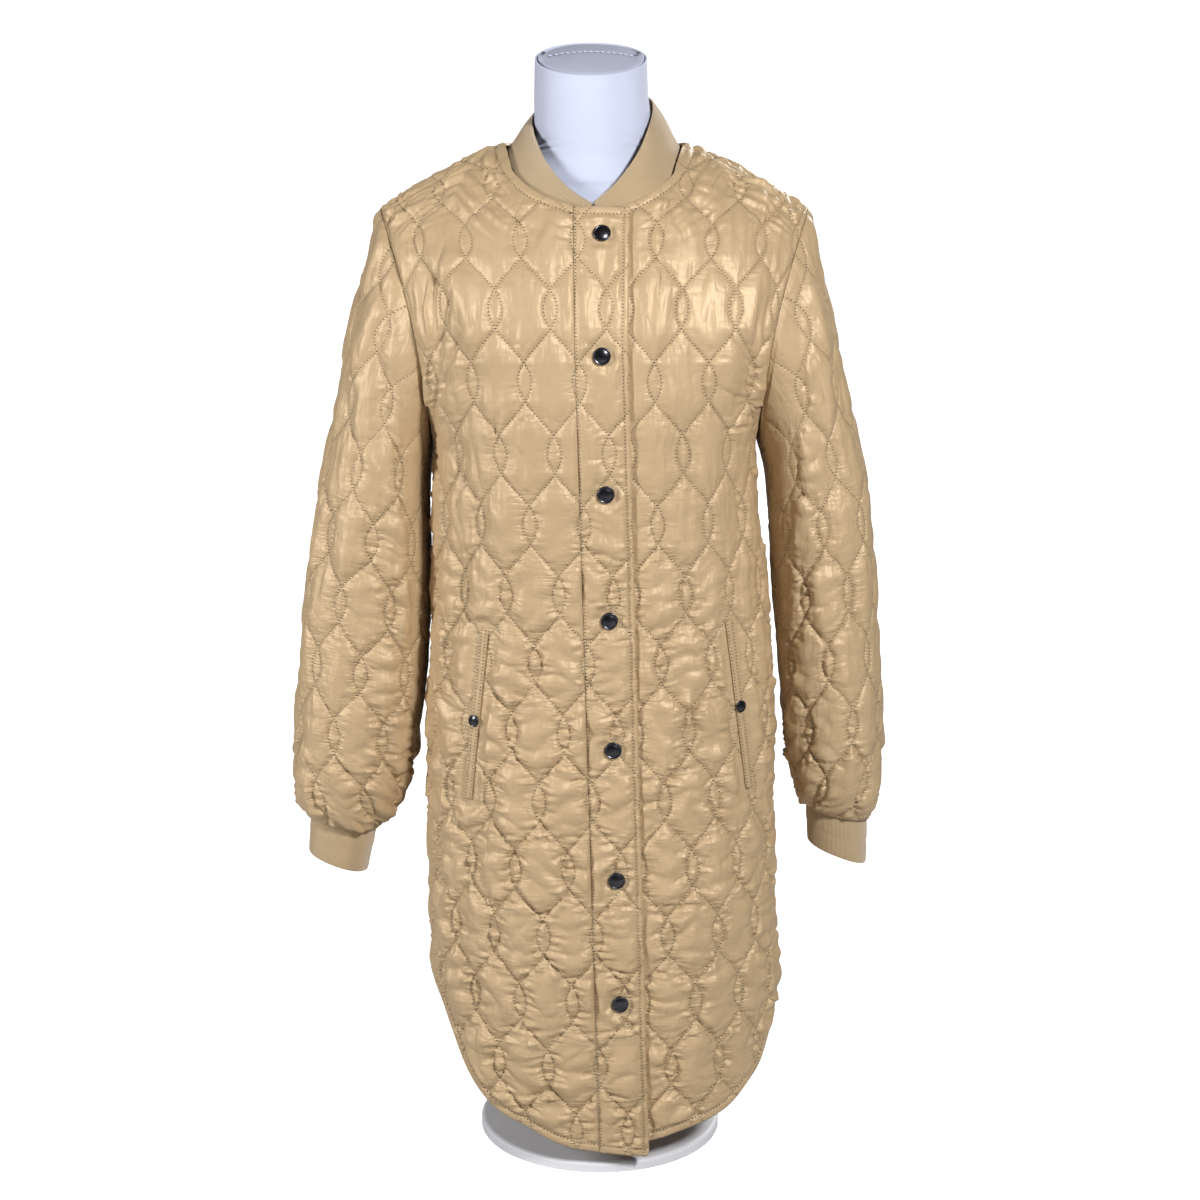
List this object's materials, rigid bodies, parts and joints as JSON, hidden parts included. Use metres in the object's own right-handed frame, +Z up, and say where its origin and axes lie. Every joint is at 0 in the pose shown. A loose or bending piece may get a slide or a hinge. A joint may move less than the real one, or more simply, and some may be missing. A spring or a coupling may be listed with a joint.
{
  "type": "quilted jacket on a dress form",
  "caption": "Long quilted jacket with snap placket, rib knit collar and cuffs and curved hem, worn by a limbless dress form on a round stand.",
  "frame": {"origin": "centre of the flat underside of the stand's base plate", "axes": "+Z up along the pole and the coat's length; -Y towards the coat's front; +X towards the wearer's left side"},
  "size_m": [0.5537, 0.2729, 1.0217],
  "materials": {
    "taffeta": "glossy tan polyester taffeta, onion quilted over thin wadding",
    "rib_knit": "matte tan fine rib knit",
    "gunmetal": "polished dark gunmetal plating",
    "form_cover": "smooth white stretch cover",
    "stand_paint": "white powder coat"
  },
  "bodies": {
    "root": {"front_right": "taffeta", "front_left": "taffeta", "back": "taffeta", "placket": "taffeta", "sleeve_right": "taffeta", "sleeve_left": "taffeta", "welt_right": "taffeta", "welt_left": "taffeta", "collar": "rib_knit", "cuff_right": "rib_knit", "cuff_left": "rib_knit", "snap_1": "gunmetal", "snap_2": "gunmetal", "snap_3": "gunmetal", "snap_4": "gunmetal", "snap_5": "gunmetal", "snap_6": "gunmetal", "snap_7": "gunmetal", "pocket_snap_right": "gunmetal", "pocket_snap_left": "gunmetal", "form_torso": "form_cover", "form_cap": "form_cover", "stand_pole": "stand_paint", "stand_base": "stand_paint"}
  },
  "joints": []
}
